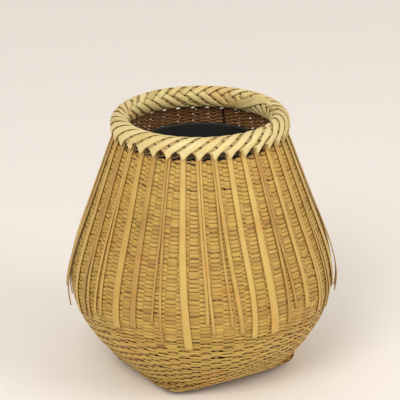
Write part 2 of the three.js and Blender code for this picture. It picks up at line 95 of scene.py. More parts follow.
SHEET_HALF_WIDTH = 3.0
SHEET_FRONT = -2.5
SHEET_BEND_START = 1.6
SHEET_BEND_RADIUS = 0.9
SHEET_BEND_STEPS = 24
SHEET_TOP = 3.2
SHEET_COLOUR = (0.92, 0.885, 0.85)
SHEET_ROUGHNESS = 0.9
SURROUND_COLOUR = (1.0, 0.955, 0.90)
SURROUND_STRENGTH = 0.65


def new_material(name):
    """A material, with its nodes, its links and its main shader."""
    material = bpy.data.materials.new(name)
    material.use_nodes = True
    tree = material.node_tree
    return material, tree.nodes, tree.links, tree.nodes["Principled BSDF"]


def new_mesh_object(name, points, faces, material):
    """Links a mesh of points and faces, each face a list of point numbers, with one material."""
    mesh = bpy.data.meshes.new(name)
    mesh.from_pydata(points.tolist(), [], faces.tolist())
    mesh.materials.append(material)
    mesh.shade_smooth()
    made = bpy.data.objects.new(name, mesh)
    bpy.context.scene.collection.objects.link(made)
    return made


def grid_faces(rows, columns, close_rows, close_columns):
    """Quads between neighbours on a grid of rows by columns, joined round where it is closed."""
    row = np.arange(rows if close_rows else rows - 1)
    column = np.arange(columns if close_columns else columns - 1)
    here, beside = np.meshgrid(row, column, indexing="ij")
    next_row = (here + 1) % rows
    next_column = (beside + 1) % columns
    corners = [
        here * columns + beside,
        here * columns + next_column,
        next_row * columns + next_column,
        next_row * columns + beside,
    ]
    return np.stack(corners, -1).reshape(-1, 4)


bend = np.linspace(0, math.pi / 2, SHEET_BEND_STEPS)
run = np.concatenate(([SHEET_FRONT], SHEET_BEND_START + SHEET_BEND_RADIUS * np.sin(bend)))
rise = np.concatenate(([0], SHEET_BEND_RADIUS * (1 - np.cos(bend))))
run = np.append(run, run[-1])
rise = np.append(rise, SHEET_TOP)
sides = np.array([-SHEET_HALF_WIDTH, SHEET_HALF_WIDTH])
across, along = np.meshgrid(sides, run)
sheet_points = np.stack([across, along, np.broadcast_to(rise[:, None], across.shape)], -1)

sheet_material, _, _, sheet_shader = new_material("pale_sheet")
sheet_shader.inputs["Base Color"].default_value = (*SHEET_COLOUR, 1)
sheet_shader.inputs["Roughness"].default_value = SHEET_ROUGHNESS
sheet_faces = grid_faces(len(run), 2, False, False)
sheet = new_mesh_object("backdrop_sheet", sheet_points.reshape(-1, 3), sheet_faces, sheet_material)


def soft_lamp(name, place, size, power, colour):
    """A square area lamp at a place, turned towards the middle of the basket."""
    data = bpy.data.lights.new(name, "AREA")
    data.size = size
    data.energy = power
    data.color = colour
    lamp = bpy.data.objects.new(name, data)
    lamp.location = place
    aim = (cad_low + cad_high) / 2 - Vector(place)
    lamp.rotation_euler = aim.to_track_quat("-Z", "Y").to_euler()
    bpy.context.scene.collection.objects.link(lamp)


soft_lamp("front_lamp", place=(-0.7, -1.7, 1.7), size=1.1, power=26, colour=(1.0, 0.98, 0.95))
soft_lamp("side_lamp", place=(1.6, -0.9, 1.2), size=1.2, power=13, colour=(1.0, 0.97, 0.93))

surround = bpy.data.worlds.new("even_surround")
surround.use_nodes = True
background = surround.node_tree.nodes["Background"]
background.inputs["Color"].default_value = (*SURROUND_COLOUR, 1)
background.inputs["Strength"].default_value = SURROUND_STRENGTH
bpy.context.scene.world = surround

# Woven wall: stakes
# Flat splits of bamboo rise from the oblong base, swell out to the round belly and draw in to the
# neck. They stand in twos under the rim, and the gaps between the twos take the lashing.

DEGREE = math.pi / 180
DOWN = np.array([0.0, 0.0, -1.0])
STAKE_COUNT = 72
PITCH_COUNT = STAKE_COUNT // 2
HOLE_START = -86 * DEGREE
BASE_TURN = 31.8 * DEGREE
BASE_HALF_LENGTH = 0.0487
BASE_HALF_WIDTH = 0.0393
BELLY_RADIUS = 0.1018
BELLY_HEIGHT = 0.073
RIM_RADIUS = 0.0612
RIM_LEAN = 22.8 * DEGREE
RIM_HALF_HEIGHT = 0.0083
STAKE_THICKNESS = 0.0005
WALL_THICKNESS = 0.0016
HOLE_DROP = 0.0004
NECK_DROP = 0.0032
STAKE_OFFSET_AT_RIM = 0.0008
STAKE_WIDTH_LOW = 0.0033
STAKE_WIDTH_BELLY = 0.0040
STAKE_WIDTH_TOP = 0.0027
STAKE_WIDTH_CHANGE = (0.9, 1.06)
STAKE_NARROWING_HEIGHT = 0.180
STAKE_NARROWING = 0.9
STAKE_START_HEIGHT = 0.0022
STAKE_PLACES = 110
TWO_CLOSING_HEIGHT = 0.183
TWO_HALF_DEGREES_LOW = 2.5
TWO_HALF_DEGREES_TOP = 1.3
STRIP_CORNERS = 6
FACE_SHARE = 0.82
PROBE_STEP = 0.001
GRAIN_STEP = 0.37
GRAIN_BUMP = 0.6
FIBRE_WEIGHT = 0.5
DRIFT_WEIGHT = 0.75
TONE_WEIGHT = 0.55
TONE_OFFSET = -0.4
# Whole patches of the basket have aged to a greener or a redder shade.
PATCH_SCALE = 45
PATCH_SHADES = [(0.32, (0.96, 1.0, 0.90)), (0.5, (1, 1, 1)), (0.68, (1.0, 0.90, 0.82))]

rim_height = cad_high.z - RIM_HALF_HEIGHT
hole_bottom = rim_height - RIM_HALF_HEIGHT - HOLE_DROP
neck_height = rim_height - RIM_HALF_HEIGHT - NECK_DROP
wall_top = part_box("woven_wall")[1].z

# Each row is a height share, a radius share, how square the outline is there and its share of the
# base's stretch. The lower rows run from base to belly, and the upper ones from belly to neck.
LOWER_ROW_SHARES = np.array([
    (0, 0, 9, 1), (0.041, 0.135, 7.6, 0.8), (0.137, 0.32, 3.2, 0.2), (0.247, 0.471, 2.5, 0.08),
    (0.384, 0.633, 2.25, 0.03), (0.493, 0.74, 2.15, 0), (0.63, 0.848, 2.1, 0), (0.795, 0.95, 2, 0),
    (1, 1, 2, 0),
])
UPPER_ROW_SHARES = [(0.172, 0.942), (0.344, 0.78), (0.56, 0.525), (0.818, 0.22), (1, 0)]


def leaning_radius(height):
    """Radius of the stakes' outer face near the rim, where the wall runs straight."""
    return RIM_RADIUS + STAKE_OFFSET_AT_RIM - (height - rim_height) * math.tan(RIM_LEAN)


neck_radius = leaning_radius(neck_height)
base_radius = (BASE_HALF_LENGTH + BASE_HALF_WIDTH) / 2
base_stretch = (BASE_HALF_LENGTH - BASE_HALF_WIDTH) / (BASE_HALF_LENGTH + BASE_HALF_WIDTH)
lower_heights, lower_radii, lower_squareness, lower_stretch = LOWER_ROW_SHARES.T
upper_heights, upper_radii = np.array(UPPER_ROW_SHARES).T
row_heights = np.concatenate([
    lower_heights * BELLY_HEIGHT,
    BELLY_HEIGHT + upper_heights * (neck_height - BELLY_HEIGHT),
    [wall_top],
])
row_radii = np.concatenate([
    base_radius + lower_radii * (BELLY_RADIUS - base_radius),
    neck_radius + upper_radii * (BELLY_RADIUS - neck_radius),
    [leaning_radius(wall_top)],
])
row_squareness = np.concatenate([lower_squareness, np.full(len(upper_heights) + 1, 2.0)])
row_stretch = np.concatenate([lower_stretch * base_stretch, np.zeros(len(upper_heights) + 1)])


def smooth_curve(x, knots, values):
    """Cubic Hermite curve through the knots, each slope the mean of its neighbours' slopes."""
    slopes = np.gradient(values, knots)
    x = np.clip(x, knots[0], knots[-1])
    i = np.clip(np.searchsorted(knots, x, side="right") - 1, 0, len(knots) - 2)
    width = knots[i + 1] - knots[i]
    t = (x - knots[i]) / width
    start = (1 + 2 * t) * (1 - t) ** 2 * values[i] + t * (1 - t) ** 2 * width * slopes[i]
    end = t * t * (3 - 2 * t) * values[i + 1] + t * t * (t - 1) * width * slopes[i + 1]
    return start + end


def round_axis(radius, azimuth, height):
    """Points at radii, azimuths and heights round the upright axis."""
    x = radius * np.cos(azimuth)
    y = radius * np.sin(azimuth)
    return np.stack([x, y, np.broadcast_to(height, x.shape)], -1)


def on_wall(azimuth, height, stand_off):
    """A point that stands off the wall's outer face, square to its slope. The outline is the rounded
    oblong |x / a|^n + |y / b|^n = 1, and n goes from 9 at the base to 2, a circle, at the belly."""
    small = 1e-4
    radius = smooth_curve(height, row_heights, row_radii)
    slope = smooth_curve(height + small, row_heights, row_radii)
    slope = (slope - smooth_curve(height - small, row_heights, row_radii)) / (2 * small)
    lean = np.arctan(slope)
    n = smooth_curve(height, row_heights, row_squareness)
    turned = azimuth - BASE_TURN
    stretch = smooth_curve(height, row_heights, row_stretch)
    along = np.abs(np.cos(turned)) / (1 + stretch)
    over = np.abs(np.sin(turned)) / (1 - stretch)
    ratio = (along**n + over**n) ** (-1 / n)
    reach = (radius + stand_off * np.cos(lean)) * ratio
    return round_axis(reach, azimuth, height - stand_off * np.sin(lean))


def unit(vectors):
    """The same directions, each one unit long."""
    return vectors / np.maximum(np.linalg.norm(vectors, axis=-1, keepdims=True), 1e-12)


def lay_grain(mesh, along, across):
    """Stores each point's metres along and across the fibres as the UV map."""
    corner_points = np.empty(len(mesh.loops), np.int32)
    mesh.loops.foreach_get("vertex_index", corner_points)
    uv = mesh.uv_layers.new(name="grain")
    uv.data.foreach_set("uv", np.stack([along[corner_points], across[corner_points]], -1).ravel())


def store_on_points(mesh, name, values):
    """Stores a number for each point, by the name that the materials read it under."""
    stored = mesh.attributes.new(name, "FLOAT", "POINT")
    stored.data.foreach_set("value", values.astype(np.float32).ravel())


def strips_mesh(
    name, middle, outward, width, thickness, tones, material, closed=False, edge_shade=0.3,
):
    """Flat strips with bevelled edges, each a six-sided section carried along its middle line.

    middle is strips by places by xyz, and outward and width are the same or broadcast to it.
    The section is as wide as the strip at half its thickness, and a little narrower on its two broad
    faces. The UV map holds metres along and across. Each strip has a tone, and inside is 1 on the
    inner face, 0 on the outer one and edge_shade along the edges, a painted shade that darkens the
    edges towards the inner colour."""
    count, places, _ = middle.shape
    width = np.broadcast_to(width, (count, places))
    if closed:
        ahead = np.roll(middle, -1, 1) - np.roll(middle, 1, 1)
    else:
        ahead = np.gradient(middle, axis=1)
    side = unit(np.cross(outward, unit(ahead)))
    face = unit(np.cross(unit(ahead), side))
    across = np.array([-1, -FACE_SHARE, FACE_SHARE, 1, FACE_SHARE, -FACE_SHARE]) / 2
    deep = np.array([0, 1, 1, 0, -1, -1]) / 2
    points = (
        middle[:, :, None]
        + side[:, :, None] * (across * width[..., None])[..., None]
        + face[:, :, None] * (deep * thickness)[..., None]
    )
    first_points = (np.arange(count) * places * STRIP_CORNERS)[:, None, None]
    strip_faces = grid_faces(places, STRIP_CORNERS, closed, True)
    faces = [(strip_faces[None] + first_points).reshape(-1, 4)]
    if not closed:
        ring = np.arange(STRIP_CORNERS)
        last = (places - 1) * STRIP_CORNERS
        for order in (ring[::-1], last + ring):
            quads = np.array([order[[0, 1, 2, 3]], order[[0, 3, 4, 5]]])
            faces.append((quads[None] + first_points).reshape(-1, 4))
    made = new_mesh_object(name, points.reshape(-1, 3), np.concatenate(faces), material)
    step = np.linalg.norm(np.diff(middle, axis=1, append=middle[:, :1]), axis=-1)
    length = np.concatenate([np.zeros((count, 1)), np.cumsum(step, 1)[:, :-1]], 1)
    length = length + np.arange(count)[:, None] * GRAIN_STEP
    along = np.repeat(length.ravel(), STRIP_CORNERS)
    lay_grain(made.data, along, (across * width[..., None]).ravel())
    store_on_points(made.data, "tone", np.repeat(tones, places * STRIP_CORNERS))
    # The edges get edge_shade of the inner colour: painted shade along the edges.
    inner = np.where(deep < 0, 1, np.where(deep > 0, 0, edge_shade))
    store_on_points(made.data, "inside", np.tile(inner, count * places))
    return made


def noise(nodes, links, vector, scale, detail):
    """A number from 0 to 1 that changes at random with a vector."""
    node = nodes.new("ShaderNodeTexNoise")
    node.inputs["Scale"].default_value = scale
    node.inputs["Detail"].default_value = detail
    links.new(vector, node.inputs["Vector"])
    return node.outputs["Fac"]


def colour_ramp(nodes, links, value, stops):
    """A colour that runs with a value through stops, each a value and its colour."""
    node = nodes.new("ShaderNodeValToRGB")
    elements = node.color_ramp.elements
    for element, (position, colour) in zip(elements[:2], (stops[0], stops[-1])):
        element.position = position
        element.color = (*colour, 1)
    for position, colour in stops[1:-1]:
        elements.new(position).color = (*colour, 1)
    links.new(value, node.inputs["Fac"])
    return node.outputs["Color"]


def add_bump(nodes, links, height, depth, strength):
    """Lets a value raise and sink the surface by as much as the depth."""
    node = nodes.new("ShaderNodeBump")
    node.inputs["Distance"].default_value = depth
    node.inputs["Strength"].default_value = strength
    links.new(height, node.inputs["Height"])
    links.new(node.outputs["Normal"], nodes["Principled BSDF"].inputs["Normal"])


def bamboo_material(name, light, middle, dark, inner, roughness, grain_depth=0.0001):
    """Split bamboo: long fine fibres run along the strip, and its colour drifts between three tones
    by strip and by place. The inner side is the browner, softer side of the split. The strips' edges
    take some of the inner colour as painted shade."""
    material, nodes, links, shader = new_material(name)
    shader.inputs["Roughness"].default_value = roughness
    uv = nodes.new("ShaderNodeUVMap")
    uv.uv_map = "grain"

    def stretched_noise(along, over, detail):
        mapping = nodes.new("ShaderNodeMapping")
        mapping.inputs["Scale"].default_value = (along, over, 1)
        links.new(uv.outputs["UV"], mapping.inputs["Vector"])
        return noise(nodes, links, mapping.outputs["Vector"], 1, detail)

    def stored(attribute_name):
        node = nodes.new("ShaderNodeAttribute")
        node.attribute_name = attribute_name
        return node.outputs["Fac"]

    def feed(socket, value):
        if isinstance(value, float):
            socket.default_value = value
        else:
            links.new(value, socket)

    def weighed(value, factor, offset):
        node = nodes.new("ShaderNodeMath")
        node.operation = "MULTIPLY_ADD"
        for socket, given in zip(node.inputs, (value, factor, offset)):
            feed(socket, given)
        return node.outputs[0]

    def mixed_colour(factor, first, second, blend):
        node = nodes.new("ShaderNodeMix")
        node.data_type = "RGBA"
        node.blend_type = blend
        feed(node.inputs["Factor"], factor)
        links.new(first, node.inputs["A"])
        links.new(second, node.inputs["B"])
        return node.outputs["Result"]

    fibre = stretched_noise(along=14, over=2600, detail=3)
    drift = stretched_noise(along=38, over=120, detail=2)
    grain = weighed(drift, DRIFT_WEIGHT, weighed(fibre, FIBRE_WEIGHT, TONE_OFFSET))
    tone = weighed(stored("tone"), TONE_WEIGHT, grain)
    outer_stops = [(0.12, dark), (0.45, middle), (0.85, light)]
    outer_colour = colour_ramp(nodes, links, tone, outer_stops)
    inner_stops = [(0.1, [0.5 * part for part in inner]), (0.9, [1.5 * part for part in inner])]
    inner_colour = colour_ramp(nodes, links, tone, inner_stops)
    place = nodes.new("ShaderNodeTexCoord")
    patches = noise(nodes, links, place.outputs["Object"], PATCH_SCALE, 3)
    patch_colour = colour_ramp(nodes, links, patches, PATCH_SHADES)
    aged_colour = mixed_colour(1.0, outer_colour, patch_colour, "MULTIPLY")
    colour = mixed_colour(stored("inside"), aged_colour, inner_colour, "MIX")
    links.new(colour, shader.inputs["Base Color"])
    add_bump(nodes, links, fibre, grain_depth, GRAIN_BUMP)
    return material


random = np.random.default_rng(36)
weave_bamboo = bamboo_material(
    "woven_bamboo",
    light=(0.58, 0.39, 0.085), middle=(0.45, 0.27, 0.05), dark=(0.30, 0.155, 0.033),
    inner=(0.33, 0.15, 0.06), roughness=0.5,
)
# The stakes are painted darker than the weavers: partly dust, partly painted shade for the gaps that
# they show in.
dusty_and_shaded_bamboo = bamboo_material(
    "dusty_and_shaded_bamboo",
    light=(0.34, 0.20, 0.05), middle=(0.25, 0.14, 0.034), dark=(0.16, 0.08, 0.02),
    inner=(0.24, 0.11, 0.05), roughness=0.6,
)

stake_heights = np.linspace(STAKE_START_HEIGHT, wall_top, STAKE_PLACES)
stake_numbers = np.arange(STAKE_COUNT)
two_middle = HOLE_START + (stake_numbers // 2 + 0.5) * 2 * math.pi / PITCH_COUNT
from_middle = np.where(stake_numbers % 2 == 0, -1, 1)
two_half_degrees = np.interp(
    stake_heights,
    [TWO_CLOSING_HEIGHT, hole_bottom],
    [TWO_HALF_DEGREES_LOW, TWO_HALF_DEGREES_TOP],
)
stake_azimuth = two_middle[:, None] + from_middle[:, None] * (two_half_degrees * DEGREE)
narrowed_width = STAKE_WIDTH_BELLY * STAKE_NARROWING
stake_width = np.interp(
    stake_heights,
    [0, BELLY_HEIGHT, STAKE_NARROWING_HEIGHT, hole_bottom],
    [STAKE_WIDTH_LOW, STAKE_WIDTH_BELLY, narrowed_width, STAKE_WIDTH_TOP],
)
stake_middle = on_wall(stake_azimuth, stake_heights[None], -WALL_THICKNESS / 2)
stake_out = unit(on_wall(stake_azimuth, stake_heights[None], 0) - stake_middle)
stakes = strips_mesh(
    "wall_stakes", stake_middle, stake_out,
    stake_width * random.uniform(*STAKE_WIDTH_CHANGE, (STAKE_COUNT, 1)),
    STAKE_THICKNESS,
    random.uniform(0, 1, STAKE_COUNT),
    dusty_and_shaded_bamboo,
)
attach(stakes, "basket")
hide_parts("woven_wall")

# Woven wall: weavers
# Thin strips go round the stakes row by row. Coarse ones near the base pass over two stakes and
# under one, a stake further on each row, and fine ones above pass over one and under one.

WEAVE_BOTTOM_HEIGHT = 0.0020
TWILL_TOP_HEIGHT = 0.055
TWILL_ROW_PITCH = 0.00250
TWILL_STRIP_WIDTH = 0.00245
TWILL_DIP = 0.42
TWILL_SHARPNESS = 5
# The twill rows get lighter tones than the plain ones: painted light that lifts the shade under the
# belly.
TWILL_LIFTED_TONES = (0.65, 1.15)
PLAIN_ROW_PITCH = 0.00156
PLAIN_STRIP_WIDTH = 0.00147
PLAIN_SHARPNESS = 3.6
PLAIN_TONES = (0.2, 0.9)
# Each row lies one of these shares of the pitch past the row below, with these chances.
ROW_STEPS = (0.93, 1.0, 1.35)
ROW_STEP_CHANCES = (0.52, 0.36, 0.12)
ROW_WIDTH_CHANGE = (0.92, 1.04)
ROW_STRAY_SHARE = 0.12
ROW_STRAY_GAIN = 1.6
ROW_STRAY_WAVES = (3, 5, 8, 13, 21)
# A plain row is broad where it lies in front of a stake, like a brick.
BRICK_WIDTH = 0.00291
BRICK_ROW_CHANGE = (0.90, 1.06)
BRICK_WIDTH_CHANGE = 0.085
BRICK_WIDTH_LIMITS = (0.75, 1.15)
BRICK_STRAY = 0.00017
BRICK_END_SLOPE = 1.2
BRICK_END_OFFSET = 0.85
BELLY_NARROWING = 0.94
BELLY_NARROWING_HEIGHTS = (0.10, 0.13)
# The rows part in twos between the stakes, more at the neck than at the belly.
GAP_OPENINGS = (0.00003, 0.00030)
GAP_OPENING_HEIGHTS = (0.11, 0.17)
# The weavers' edges are painted a little darker: painted shade along the slits between rows.
WEAVER_EDGE_SHADE = 0.2
WEAVER_THICKNESS = 0.0004
PLACES_PER_STAKE = 9
ROWS_PER_PIECE = 22
TRACE_PLACES = 600


def lengths_along(x, y):
    """How far along its line each point of a profile lies."""
    return np.concatenate(([0], np.cumsum(np.hypot(np.diff(x), np.diff(y)))))


# The places along a weaver, counted in stakes.
past_stakes = np.arange(STAKE_COUNT * PLACES_PER_STAKE) / PLACES_PER_STAKE
trace_heights = np.linspace(WEAVE_BOTTOM_HEIGHT, hole_bottom, TRACE_PLACES)
trace_lengths = lengths_along(trace_heights, smooth_curve(trace_heights, row_heights, row_radii))


def eased(value):
    """A share from 0 to 1 that starts and ends gently."""
    return value * value * (3 - 2 * value)


def row_places(low, high, pitch):
    """Heights of rows that lie about one pitch apart along the slope of the wall."""
    start, end = np.interp([low, high], trace_heights, trace_lengths)
    rows = int((end - start) / pitch)
    steps = np.cumsum(random.choice(ROW_STEPS, rows, p=ROW_STEP_CHANCES))
    lengths = start + (steps - 0.5) / steps[-1] * (end - start)
    return np.interp(lengths, trace_lengths, trace_heights)


def row_stray(azimuth, amount):
    """How far each row strays up or down: slow waves round the basket, other ones for each row."""
    waves = np.array(ROW_STRAY_WAVES)
    phase = random.uniform(0, 2 * math.pi, (len(azimuth), len(waves)))
    swell = np.sin(azimuth[:, None, :] * waves[None, :, None] + phase[:, :, None])
    return amount * swell.mean(1) * ROW_STRAY_GAIN


def by_stake(values):
    """Spreads a value for each row and stake over the row's places, easing from one to the next."""
    before = past_stakes.astype(int)
    past = eased(past_stakes - before)
    return values[:, before] * (1 - past) + values[:, (before + 1) % STAKE_COUNT] * past


def weaver_rows(name, heights, first_row, twill, strip_width):
    """Closed rings of strip. A plain row swings out and in with the cosine of the stake number, and
    a twill row lies outside but for a dip behind every third stake."""
    rows = len(heights)
    row = first_row + np.arange(rows)
    azimuth = HOLE_START + (past_stakes + 0.5) * 2 * math.pi / STAKE_COUNT
    azimuth = np.broadcast_to(azimuth, (rows, len(past_stakes)))
    if twill:
        behind = np.cos(2 * math.pi * (past_stakes - row[:, None]) / 3)
        swing = -np.tanh(TWILL_SHARPNESS * (behind - TWILL_DIP))
    else:
        swing = np.cos(math.pi * (past_stakes + row[:, None]))
        swing = np.tanh(PLAIN_SHARPNESS * swing) / math.tanh(PLAIN_SHARPNESS)
    reach = (STAKE_THICKNESS + WEAVER_THICKNESS) / 2
    level = heights[:, None] + row_stray(azimuth, strip_width * ROW_STRAY_SHARE)
    level = level + BRICK_STRAY * by_stake(random.normal(0, 1, (rows, STAKE_COUNT)))
    width = strip_width * random.uniform(*ROW_WIDTH_CHANGE, (rows, 1))
    if not twill:
        opening = np.interp(heights, GAP_OPENING_HEIGHTS, GAP_OPENINGS)[:, None]
        between = np.sin(math.pi * past_stakes) ** 2
        level = level + opening * np.where(row % 2 == 0, 1, -1)[:, None] * between
        in_front = eased(np.clip(swing * BRICK_END_SLOPE + BRICK_END_OFFSET, 0, 1))
        brick_width = BRICK_WIDTH * random.uniform(*BRICK_ROW_CHANGE, (rows, 1))
        change = by_stake(random.normal(0, BRICK_WIDTH_CHANGE, (rows, STAKE_COUNT)))
        narrowing = np.interp(heights, BELLY_NARROWING_HEIGHTS, [BELLY_NARROWING, 1])[:, None]
        brick_width = brick_width * np.clip(1 + change, *BRICK_WIDTH_LIMITS) * narrowing
        width = width + (brick_width - strip_width) * in_front
    middle = on_wall(azimuth, level, swing * reach - WALL_THICKNESS / 2)
    outward = unit(on_wall(azimuth, level, 0) - on_wall(azimuth, level, -WALL_THICKNESS))
    tones = random.uniform(*(TWILL_LIFTED_TONES if twill else PLAIN_TONES), rows)
    made = strips_mesh(
        name, middle, outward, width, WEAVER_THICKNESS, tones, weave_bamboo,
        closed=True, edge_shade=WEAVER_EDGE_SHADE,
    )
    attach(made, "basket")
    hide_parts("woven_wall")


twill_heights = row_places(WEAVE_BOTTOM_HEIGHT, TWILL_TOP_HEIGHT, TWILL_ROW_PITCH)
plain_heights = row_places(TWILL_TOP_HEIGHT, hole_bottom, PLAIN_ROW_PITCH)
weaves = [
    ("twill_weavers_%d", twill_heights, True, TWILL_STRIP_WIDTH),
    ("plain_weavers_%d", plain_heights, False, PLAIN_STRIP_WIDTH),
]
for name, heights, twill, strip_width in weaves:
    for part, start in enumerate(range(0, len(heights), ROWS_PER_PIECE), 1):
        piece_heights = heights[start:start + ROWS_PER_PIECE]
        weaver_rows(name % part, piece_heights, start, twill, strip_width)

# Base mat
# Two sets of broad splits cross in an oblong twill mat. Its middle is raised off the table, its edge
# turns down to a foot, and the ends of the splits bend up there and run into the wall.

MAT_STRIP_COUNTS = (15, 18)
MAT_STRIP_WIDTH = 0.0047
MAT_STRIP_THICKNESS = 0.0006
MAT_STRIP_PLACES = 220
MAT_SWING_SHARE = 0.52
MAT_SWING_SHARPNESS = 2.2
MAT_SWING_FADE_LENGTH = 0.002
MAT_MIDDLE_HEIGHT = 0.0057
MAT_FOOT_HEIGHT = 0.0009
MAT_SLOPE_START_SHARE = 0.83
MAT_SLOPE_END_SHARE = 0.95
MAT_SQUARENESS = 7
MAT_OUTER_SHARE = 0.5
MAT_WIDEST_SHARE = 0.999
MAT_END_LENGTH = 0.0022
MAT_END_SLOPE = 64 * DEGREE
MAT_EDGE_MARGIN = 0.0012

mat_edges = (BASE_HALF_LENGTH - MAT_EDGE_MARGIN, BASE_HALF_WIDTH - MAT_EDGE_MARGIN)


def ramp_share(value, start, end):
    """How far a value has come from the start to the end, as a share from 0 to 1."""
    return np.clip((value - start) / (end - start), 0, 1)


def mat_strips(name, lengthwise):
    """One set of the mat's splits. Each point's distance from the middle, as a rounded oblong, sets
    its height by a smooth step, and the twill swings it over two and under two of the other set."""
    count, other_count = MAT_STRIP_COUNTS if lengthwise else MAT_STRIP_COUNTS[::-1]
    length_edge, width_edge = mat_edges if lengthwise else mat_edges[::-1]
    mat_lines = (np.arange(count) - (count - 1) / 2) * 2 * width_edge / count
    line_share = np.abs(mat_lines / width_edge)
    # A split ends where its outer half meets the rounded outline.
    outer_share = (np.abs(mat_lines) + MAT_STRIP_WIDTH * MAT_OUTER_SHARE) / width_edge
    outer_share = np.minimum(outer_share, MAT_WIDEST_SHARE)
    reach_share = (1 - outer_share**MAT_SQUARENESS) ** (1 / MAT_SQUARENESS)
    reach = (length_edge * reach_share)[:, None]
    along = np.linspace(-1, 1, MAT_STRIP_PLACES) * (reach + MAT_END_LENGTH)
    past = np.maximum(np.abs(along) - reach, 0)
    flat = np.clip(along, -reach, reach)
    line = np.broadcast_to(mat_lines[:, None], flat.shape)
    flat_share = np.abs(flat / length_edge) ** MAT_SQUARENESS
    distance = (flat_share + line_share[:, None] ** MAT_SQUARENESS) ** (1 / MAT_SQUARENESS)
    fall = eased(ramp_share(distance, MAT_SLOPE_START_SHARE, MAT_SLOPE_END_SHARE))
    number = flat / (2 * length_edge / other_count) + (other_count - 1) / 2
    phase = number + np.arange(count)[:, None]
    swing = np.tanh(MAT_SWING_SHARPNESS * np.sin(math.pi / 2 * (phase + 0.5)))
    swing = swing * (1 if lengthwise else -1)
    swing_left = np.clip(1 - past / MAT_SWING_FADE_LENGTH, 0, 1)
    swing = swing * swing_left * MAT_STRIP_THICKNESS * MAT_SWING_SHARE
    height = MAT_MIDDLE_HEIGHT + fall * (MAT_FOOT_HEIGHT - MAT_MIDDLE_HEIGHT) + swing
    height = height + past * math.cos(MAT_END_SLOPE)
    out = flat + np.sign(along) * past * math.sin(MAT_END_SLOPE)
    first, second = (out, line) if lengthwise else (line, out)
    x = first * math.cos(BASE_TURN) - second * math.sin(BASE_TURN)
    y = first * math.sin(BASE_TURN) + second * math.cos(BASE_TURN)
    middle = np.stack([x, y, height], -1)
    tones = random.uniform(0, 1, count)
    made = strips_mesh(
        name, middle, DOWN, MAT_STRIP_WIDTH, MAT_STRIP_THICKNESS, tones, weave_bamboo,
    )
    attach(made, "basket")
    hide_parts("woven_base")


mat_strips("base_mat_splits_1", lengthwise=True)
mat_strips("base_mat_splits_2", lengthwise=False)

# Strength bars
# Two thick splits of darker bamboo cross under the mat from corner to corner. They are pushed into
# the turned-down foot at both ends, where they are pared to a tip.

BAR_WIDTH = 0.008
BAR_TIP_WIDTH = 0.003
BAR_TIP_LENGTH = 0.004
BAR_THICKNESS = 0.002
BAR_PLACES = 60

smoked_bamboo = bamboo_material(
    "smoked_bamboo",
    light=(0.20, 0.10, 0.06), middle=(0.13, 0.06, 0.04), dark=(0.07, 0.03, 0.02),
    inner=(0.09, 0.04, 0.025), roughness=0.55,
)


def solid_points(node):
    """The corners of a node's solid."""
    return np.array([v.co for v in frame["nodes"][node].data.vertices])


for name in ("lower_base_bar", "upper_base_bar"):
    low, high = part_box(name)
    corners = solid_points(name)
    far = corners[np.argmax(np.hypot(corners[:, 0], corners[:, 1]))]
    direction = np.array([far[0], far[1], 0]) / math.hypot(far[0], far[1])
    half = np.abs(corners @ direction).max()
    share = np.linspace(-half, half, BAR_PLACES)
    middle = share[:, None] * direction + np.array([0, 0, (low.z + high.z) / 2])
    width = np.interp(half - np.abs(share), [0, BAR_TIP_LENGTH], [BAR_TIP_WIDTH, BAR_WIDTH])
    tones = random.uniform(0, 1, 1)
    bar = strips_mesh(
        name + "_split", middle[None], DOWN, width, BAR_THICKNESS, tones, smoked_bamboo,
    )
    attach(bar, "basket")
    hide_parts(name)

# Rim hoops
# An oval hoop of dark bamboo is split along its length. One half lies outside the stakes and
# splints, the other inside, and the lashing pulls them together.

STRIP_THICKNESS = 0.0005
STRIP_GAP = 0.00062
RIM_HALF_WIDTH = 0.0072
WALL_OFFSET_AT_RIM = 0.0003
OUTER_HOOP_OFFSET = 0.0019
INNER_HOOP_OFFSET = -0.0008
HOOP_COLUMNS = 240
HOOP_ARC_STEPS = 14

core_half_width = RIM_HALF_WIDTH - 2 * (STRIP_GAP + STRIP_THICKNESS)
core_half_height = RIM_HALF_HEIGHT - 2 * (STRIP_GAP + STRIP_THICKNESS)
core_across = math.cos(RIM_LEAN) * core_half_width
core_along = math.sin(RIM_LEAN) * core_half_height


def chord_angles(offset):
    """Angles at which the oval core meets a line that leans as the wall does, moved outwards."""
    middle = math.atan2(core_along, core_across)
    level = (WALL_OFFSET_AT_RIM * math.cos(RIM_LEAN) + offset) / math.hypot(core_across, core_along)
    half = math.acos(level)
    return middle - half, middle + half


def on_core(angle, stand_off):
    """Radius and height on the oval, moved square to it by the stand-off."""
    normal = np.stack([np.cos(angle) / core_half_width, np.sin(angle) / core_half_height], -1)
    normal = unit(normal)
    radius = RIM_RADIUS + core_half_width * np.cos(angle) + normal[..., 0] * stand_off
    height = rim_height + core_half_height * np.sin(angle) + normal[..., 1] * stand_off
    return radius, height


def turned_mesh(name, radius, height, columns, closed, material):
    """A profile of radii and heights turned round the upright axis."""
    azimuth = np.linspace(0, 2 * math.pi, columns, endpoint=False)
    points = round_axis(radius[:, None], azimuth, height[:, None])
    faces = grid_faces(len(radius), columns, closed, True)[:, ::-1]
    made = new_mesh_object(name, points.reshape(-1, 3), faces, material)
    round_lengths = np.tile(azimuth * radius.max(), len(radius))
    lay_grain(made.data, round_lengths, np.repeat(lengths_along(radius, height), columns))
    return made


